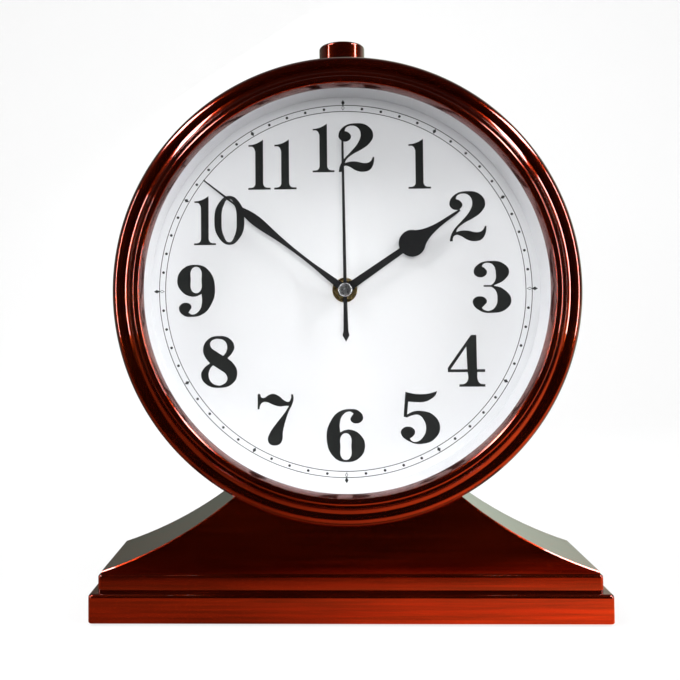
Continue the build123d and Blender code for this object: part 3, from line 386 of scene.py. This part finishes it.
# Figures of a bold modern face, on a height of 100. A third entry of 1 marks a corner.
SIX_WIDTH = 73.2
ADVANCE = {"0": 61, "1": 44.6, "2": 73.2, "3": 74, "4": 72, "5": 75, "6": 73, "7": 70.3, "8": 70, "9": 73}
OUTLINES = {
    "1": [
        (29.9, 100, 1), (19, 93.5), (9, 90.3), (0.9, 89.5, 1), (0.9, 86.3, 1), (9.5, 85.2), (14.2, 77, 1),
        (14.2, 11, 1), (10.8, 5.6), (0, 3.7, 1), (0, 0, 1), (44.6, 0, 1), (44.6, 3.7, 1), (33.5, 5.6),
        (29.9, 11, 1),
    ],
    "2": [
        (0.3, 75), (9.5, 92), (36, 100), (62, 93), (71.3, 75), (64, 59), (48, 46.5), (29, 36.2), (15.5, 24.5),
        (13.2, 18.6, 1), (22, 21), (33, 21.6), (58, 18.2), (66, 22.5), (70, 30.5, 1), (73.2, 30, 1),
        (71, 15.5), (63.5, 3.8), (50, 0), (36, 2.5), (22, 10.6), (13.5, 12.8), (7.6, 8.8), (6, 0, 1),
        (0, 0, 1), (2.6, 12), (10.3, 25.5), (26, 42.5), (40.4, 60.5), (45.6, 77), (39.5, 91), (27, 95),
        (16, 91), (13, 84.5, 1), (20.6, 81.5), (26, 72.8), (21, 64.6), (12, 62.6), (3.6, 67),
    ],
    "3": [
        (2.7, 79.2), (9.5, 92), (36.5, 100), (61, 94), (70.5, 80), (62, 64), (40.8, 52.4, 1), (58, 46.5),
        (73.9, 24.5), (63, 6.5), (38, 0), (14, 4), (0, 21), (4, 29), (13.6, 32), (24, 28.6), (27.2, 21.5),
        (23, 15.5), (17.4, 10, 1), (22.5, 5.6), (33, 4.5), (44, 13), (47.3, 27), (44, 43), (36, 50, 1),
        (21.3, 50.2, 1), (21.3, 53.4, 1), (36, 53.5, 1), (42.5, 60), (44.9, 77), (40, 91.8), (31, 96),
        (21, 93.5), (18.4, 89.5, 1), (24.5, 85.4), (28.2, 78.4), (24, 71), (15.3, 68.4), (6, 71.8),
    ],
    "4": [
        (45.5, 100, 1), (55.9, 100, 1), (56.5, 33.7, 1), (72, 33.7, 1), (72, 28.2, 1), (57, 28.2, 1),
        (57.6, 13), (62.5, 6.2), (72, 4.8, 1), (72, 0, 1), (22, 0, 1), (22, 4.8, 1), (32.5, 6.2),
        (38.6, 13.5), (38, 28.2, 1), (0, 28.2, 1), (0, 36.6, 1),
    ],
    "5": [
        (9.5, 98.8, 1), (30, 94.6), (53, 95.2), (70.2, 100, 1), (67, 92.5), (60, 86), (46, 79.6), (30, 79),
        (14.8, 80.3, 1), (12.4, 55.8, 1), (23, 61), (40, 62.4), (62.5, 54.5), (74.8, 32), (65, 10), (42, 0),
        (17, 4), (0, 20.7), (4, 29.5), (14.8, 32.8), (24, 29), (27.2, 22), (23.2, 14.6), (17, 10, 1),
        (21.5, 5.2), (29, 3.8), (41.5, 12), (48.1, 28), (44, 45), (34.3, 54.6), (22.5, 54), (11.9, 49.8, 1),
        (5.7, 51.7, 1),
    ],
    "6": [
        (44.5, 100), (61, 97), (69.9, 84), (66, 76), (58, 72.8), (49, 75), (45.7, 81), (48.5, 87),
        (51.7, 91.5, 1), (44, 95.3), (31, 88), (25.6, 73), (26.3, 56.2, 1), (35, 60.2), (47, 60.9),
        (65, 50.5), (73, 31), (62.5, 8), (37.5, 0), (14.5, 8.5), (0.2, 45.5), (10.5, 81.5), (25, 95.5),
    ],
    "7": [
        (0.3, 97, 1), (2.6, 100), (5.4, 98.6), (7.6, 93), (13, 92), (22, 97.4), (31, 99.5), (42, 95.2),
        (52, 87), (60.5, 84.3), (64.6, 89.5), (65.5, 98.5, 1), (69, 98.8, 1), (70.3, 91), (67.5, 79),
        (60.7, 65.5),
        (53.6, 45), (49, 25), (48.3, 13), (43, 3), (33.3, 0), (24, 2.5), (19.8, 11.5), (24, 24.5), (36, 42),
        (52, 62), (61.2, 76, 1), (53, 76.2), (44, 75), (30, 78.8), (18.5, 83.6), (10.5, 83), (5.6, 77.5),
        (3.7, 69.8, 1), (0.3, 69.8, 1), (0.6, 84),
    ],
    "8": [
        (34, 100), (56.5, 94), (64.6, 79), (60, 66.5), (51.3, 57, 1), (62.5, 47), (70, 30.5), (62, 9),
        (34, 0), (9, 7.5), (0, 24), (4.8, 37), (17.1, 47.5, 1), (8, 59), (3.9, 74), (13, 93),
    ],
}
HOLES = {
    "4": [[(36.2, 77.5, 1), (37.8, 33.7, 1), (5.4, 33.7, 1)]],
    "6": [oval(36.6, 29.2, 10.3, 25.2, 0.62)],
    "8": [
        [(34.5, 94.2), (46, 90), (50.8, 79), (48.6, 69), (43, 61.6, 1), (30.5, 69.5), (18.8, 79.5),
         (18.8, 88), (25, 93)],
        [(23, 43.4, 1), (35.5, 35.6), (48.9, 24.5), (50.3, 15), (42, 6.6), (33, 4.8), (20, 10.8),
         (14.5, 25), (17.6, 36.5)],
    ],
}
FIGURES = {digit: [outline, *HOLES.get(digit, [])] for digit, outline in OUTLINES.items()}
FIGURES["9"] = [about_middle(outline) for outline in FIGURES["6"]]
FIGURES["0"] = [oval(30.5, 50, 30.5, 50), oval(30.0, 49.5, 15.3, 44)]
# Each hour's figure height and how far its middle is nudged right and up from the ring, in mm.
SETTING = {
    1: (28.6, 1.9, 0.0), 2: (28.6, -1.4, 0.0), 3: (29.5, 0.4, 1.1), 4: (29.2, -3.5, 0.8),
    5: (29.6, 0.5, -0.6), 6: (29.8, -0.3, 0.5), 7: (29.3, 1.5, -1.4), 8: (29.5, -0.2, 1.1),
    9: (29.8, -2.1, 0.3), 10: (28.2, 0.2, -0.9), 11: (28.8, 0.6, 0.6), 12: (28.0, 0.0, -1.3),
}
TIGHT = {"10": -3, "11": 7, "12": 8.4}     # gap between the two figures of a pair


def figure_outlines(text):
    """Every outline of a numeral, centred on its middle, in units of the figure height."""
    outlines, x, gap = [], 0.0, TIGHT.get(text, 0)
    for digit in text:
        outlines += [[(px + x, py, *rest) for px, py, *rest in line] for line in FIGURES[digit]]
        x += ADVANCE[digit] + gap
    half = (x - gap) / 2
    return [[((px - half) / 100, (py - 50) / 100, *rest) for px, py, *rest in line] for line in outlines]


def numerals():
    """The twelve upright figures as thin solid print."""
    curve = bpy.data.curves.new("numeral_outlines", "CURVE")
    curve.dimensions = "2D"
    curve.fill_mode = "BOTH"
    curve.resolution_u = 10
    curve.extrude = INK * MM / 2
    for hour in range(1, 13):
        angle = math.radians(hour * 30)
        height, right, up = SETTING[hour]
        cx, cy = NUMERAL_RING * math.sin(angle) + right, NUMERAL_RING * math.cos(angle) + up
        for outline in figure_outlines(str(hour)):
            spline = curve.splines.new("BEZIER")
            spline.bezier_points.add(len(outline) - 1)
            spline.use_cyclic_u = True
            for point, (px, py, *corner) in zip(spline.bezier_points, outline):
                point.co = ((cx + px * height) * MM, (cy + py * height) * MM, 0)
                kind = "VECTOR" if corner else "AUTO"
                point.handle_left_type = point.handle_right_type = kind
    shape = bpy.data.objects.new("numeral_outlines", curve)
    bpy.context.scene.collection.objects.link(shape)
    bpy.context.view_layer.update()
    mesh = bpy.data.meshes.new_from_object(shape.evaluated_get(bpy.context.evaluated_depsgraph_get()))
    bpy.data.objects.remove(shape)
    for v in mesh.vertices:
        x, y, z = v.co
        v.co = (x, DIAL_Y - INK * MM / 2 - z, AXIS_Z + y)
    mesh.materials.clear()
    mesh.materials.append(MATERIALS["ink"])
    add_object("dial_numerals", mesh)


def plate(bm, points):
    """A thin printed patch from points on the dial's front."""
    rear = [bm.verts.new(p) for p in points]
    front = [bm.verts.new(p - Vector((0, INK * MM, 0))) for p in points]
    bm.faces.new(front)
    bm.faces.new(rear[::-1])
    for i, v in enumerate(rear):
        j = (i + 1) % len(rear)
        bm.faces.new((v, rear[j], front[j], front[i]))


def ring_plate(bm, radius):
    """A thin printed circle."""
    inside, outside = radius - TRACK_LINE / 2, radius + TRACK_LINE / 2
    loops = []
    for r, ahead in ((inside, 0), (outside, 0), (outside, INK), (inside, INK)):
        loops.append([bm.verts.new(clock_point(r, 360 * k / RING_STEPS, ahead)) for k in range(RING_STEPS)])
    for k, loop in enumerate(loops):
        following = loops[(k + 1) % len(loops)]
        for i in range(RING_STEPS):
            j = (i + 1) % RING_STEPS
            bm.faces.new((loop[i], loop[j], following[j], following[i]))


def diamond(bm, radius, turn, half_out, half_side):
    """A printed diamond that points at the centre."""
    plate(bm, [clock_point(radius + out, turn + math.degrees(side / radius))
               for out, side in ((half_out, 0), (0, half_side), (-half_out, 0), (0, -half_side))])


def hollow_diamond(bm, turn, half_out, half_side):
    """The outline of a diamond on the track, as four bars."""
    for side in (-half_side, half_side):
        for end in (-half_out, half_out):
            plate(bm, [clock_point(TRACK_MIDDLE + HOLLOW_AHEAD + end * out,
                                   turn + math.degrees(side * across / TRACK_MIDDLE))
                       for out, across in ((0, 1), (1, 0), (HOLLOW_INSIDE, 0), (0, HOLLOW_INSIDE))])


def dot(bm, turn):
    """A round printed dot in the middle of the track."""
    centre = clock_point(TRACK_MIDDLE, turn)
    plate(bm, [centre + Vector((math.cos(a), 0, math.sin(a))) * DOT_R * MM
               for a in (math.tau * k / DOT_STEPS for k in range(DOT_STEPS))])


def minute_track():
    """Two fine circles with a dot at each minute, a diamond at each hour and two at each quarter."""
    bm = bmesh.new()
    ring_plate(bm, TRACK_IN)
    ring_plate(bm, TRACK_OUT)
    for minute in range(60):
        turn = minute * 6
        if minute % 15 == 0:
            diamond(bm, TRACK_OUT + QUARTER_AHEAD, turn, *QUARTER_DIAMOND)
            hollow_diamond(bm, turn, *HOLLOW_DIAMOND)
        elif minute % 5 == 0:
            diamond(bm, TRACK_MIDDLE, turn, *HOUR_DIAMOND)
        else:
            dot(bm, turn)
    mesh = from_bmesh("dial_track", bm)
    mesh.materials.append(MATERIALS["ink"])
    add_object("dial_track", mesh)


numerals()
minute_track()


# ---------------------------------------------------------------- stage, lamps and camera
# Places and sizes in metres, except where a comment says otherwise.
SWEEP_HALF_WIDTH, SWEEP_NEAR, SWEEP_FAR, SWEEP_HEIGHT = 3.0, -1.6, 1.1, 1.9
SWEEP_BEND, BEND_STEPS = 0.35, 12         # radius of the curve behind the clock and its number of edges
SWEEP_GLOW = 0.97                         # brightness of the white that the camera sees
GLOW_SHARE = 0.8                          # how much of the sweep that the camera sees is that white
AIM = (0, 0, AXIS_Z)

# Each lamp's place, its width and height, its power in watts and whether the clock mirrors it.
LAMPS = {
    "left_box": ((-0.72, -0.34, AXIS_Z + 0.80), (0.50, 0.20), 9, True),
    "right_box": ((0.80, -0.32, AXIS_Z + 0.72), (0.50, 0.20), 9, True),
    "left_strip": ((-0.95, -0.30, 0.22), (0.06, 0.9), 4, True),
    "right_strip": ((0.95, -0.34, 0.22), (0.12, 1.0), 8, True),
    "front_fill": ((0.1, -1.6, 0.45), (1.0, 0.8), 17, False),
    "rear_fill": ((-0.4, 0.9, 0.8), (0.8, 0.5), 7, False),
}

CAMERA_LENS, CAMERA_SHIFT = 43.4, (0.0596, -0.0876)                  # lens in mm
CAMERA_LEFT, CAMERA_BEFORE, CAMERA_BELOW = 13.6, 448.5, 10.6         # mm from the hand axis and the drum
CAMERA_YAW, CAMERA_TILT, CAMERA_ROLL = 1.49, 92, -0.47               # degrees


def stage_material():
    """White sweep for the camera; glossy rays see a painted reflection glowing on it instead, bright behind
    the clock, warm at its foot, brighter to the right and dark before it.
    """
    m = Nodes("stage_white_painted_reflection", Base_Color=(0.9, 0.9, 0.9, 1), Roughness=0.9, Specular_IOR_Level=0.0)
    rays = m.add("ShaderNodeLightPath")
    glow = m.add("ShaderNodeEmission")
    glow.inputs["Strength"].default_value = SWEEP_GLOW
    seen = m.add("ShaderNodeMixShader")
    m.link(m.between(rays.outputs["Is Camera Ray"], 0.0, GLOW_SHARE, 0, 1), seen.inputs["Fac"])
    m.link(m.shader.outputs["BSDF"], seen.inputs[1])
    m.link(glow.outputs["Emission"], seen.inputs[2])
    axes = m.add("ShaderNodeSeparateXYZ")
    m.link(m.place, axes.inputs["Vector"])
    depth = m.between(axes.outputs["Y"], 0.0, 1.0, -0.2, 0.2)
    # Painted reflection: colours that only glossy rays see, black before the clock, warm orange at its foot,
    # dull red, then grey-green behind.
    painted_reflection_colours = m.ramp(
        depth, (0.22, (0, 0, 0)), (0.31, (1.0, 0.26, 0.07)), (0.5, (0.55, 0.10, 0.03)),
        (0.75, (0.20, 0.23, 0.19)),
    )
    painted_reflection = m.add("ShaderNodeEmission")
    m.link(painted_reflection_colours, painted_reflection.inputs["Color"])
    # The painted reflection glows brighter towards the right.
    m.link(m.between(axes.outputs["X"], 0.6, 2.5, -0.08, 0.14), painted_reflection.inputs["Strength"])
    choice = m.add("ShaderNodeMixShader")
    m.link(rays.outputs["Is Glossy Ray"], choice.inputs["Fac"])
    m.link(seen.outputs["Shader"], choice.inputs[1])
    m.link(painted_reflection.outputs["Emission"], choice.inputs[2])
    m.link(choice.outputs["Shader"], m.tree.nodes["Material Output"].inputs["Surface"])
    return m.material


def stage_floor():
    """Pale sweep: a floor that curves up behind the clock."""
    bend_start = SWEEP_FAR - SWEEP_BEND
    profile = [(SWEEP_NEAR, 0.0), (bend_start, 0.0)]
    for k in range(1, BEND_STEPS + 1):
        a = math.radians(90 * k / BEND_STEPS)
        profile.append((bend_start + SWEEP_BEND * math.sin(a), SWEEP_BEND - SWEEP_BEND * math.cos(a)))
    profile.append((SWEEP_FAR, SWEEP_HEIGHT))
    bm = bmesh.new()
    rows = [[bm.verts.new((x, y, z)) for x in (-SWEEP_HALF_WIDTH, SWEEP_HALF_WIDTH)] for y, z in profile]
    for a, b in zip(rows, rows[1:]):
        bm.faces.new((a[0], a[1], b[1], b[0]))
    mesh = from_bmesh("stage_floor", bm)
    mesh.shade_smooth()
    mesh.materials.append(stage_material())
    obj = bpy.data.objects.new("stage_floor", mesh)
    bpy.context.scene.collection.objects.link(obj)


def lamp(name, place, size, power, mirrored):
    """A soft rectangular lamp aimed at the middle of the dial."""
    data = bpy.data.lights.new(name, "AREA")
    data.shape = "RECTANGLE"
    data.size, data.size_y = size
    data.energy = power
    obj = bpy.data.objects.new(name, data)
    bpy.context.scene.collection.objects.link(obj)
    obj.location = place
    obj.rotation_euler = (Vector(AIM) - Vector(place)).to_track_quat("-Z", "Y").to_euler()
    obj.visible_camera = False
    obj.visible_glossy = obj.visible_transmission = mirrored


def world(front, back, seen):
    """Surroundings that are dark before the clock and bright behind it; the camera sees them white."""
    scene_world = bpy.data.worlds.new("studio")
    bpy.context.scene.world = scene_world
    scene_world.use_nodes = True
    tree = scene_world.node_tree
    new, link = tree.nodes.new, tree.links.new
    split = new("ShaderNodeSeparateXYZ")
    link(new("ShaderNodeTexCoord").outputs["Generated"], split.inputs["Vector"])
    level = new("ShaderNodeMapRange")
    for key, value in (("From Min", -0.1), ("From Max", 0.8), ("To Min", front), ("To Max", back)):
        level.inputs[key].default_value = value
    link(split.outputs["Y"], level.inputs["Value"])
    background = tree.nodes["Background"]
    link(level.outputs["Result"], background.inputs["Strength"])
    background.inputs["Color"].default_value = (1, 1, 1, 1)
    white = new("ShaderNodeBackground")
    white.inputs["Color"].default_value = (seen, seen, seen, 1)
    mix = new("ShaderNodeMixShader")
    link(new("ShaderNodeLightPath").outputs["Is Camera Ray"], mix.inputs["Fac"])
    link(background.outputs["Background"], mix.inputs[1])
    link(white.outputs["Background"], mix.inputs[2])
    link(mix.outputs["Shader"], tree.nodes["World Output"].inputs["Surface"])


def camera():
    """In front of the clock, a little left of it and below the hand axis, and turned slightly left."""
    data = bpy.data.cameras.new("camera")
    data.sensor_width = 36.0
    data.lens = CAMERA_LENS
    data.shift_x, data.shift_y = CAMERA_SHIFT
    obj = bpy.data.objects.new("camera", data)
    bpy.context.scene.collection.objects.link(obj)
    obj.location = (-CAMERA_LEFT * MM, FRONT_Y - CAMERA_BEFORE * MM, AXIS_Z - CAMERA_BELOW * MM)
    turns = ((CAMERA_YAW, "Z"), (CAMERA_TILT, "X"), (CAMERA_ROLL, "Z"))
    yaw, tilt, roll = (Matrix.Rotation(math.radians(angle), 3, axis) for angle, axis in turns)
    obj.rotation_euler = (yaw @ tilt @ roll).to_euler()
    bpy.context.scene.camera = obj


stage_floor()
for name, settings in LAMPS.items():
    lamp(name, *settings)
world(front=0.006, back=0.35, seen=1.0)
camera()
bpy.context.scene.view_settings.view_transform = "Standard"
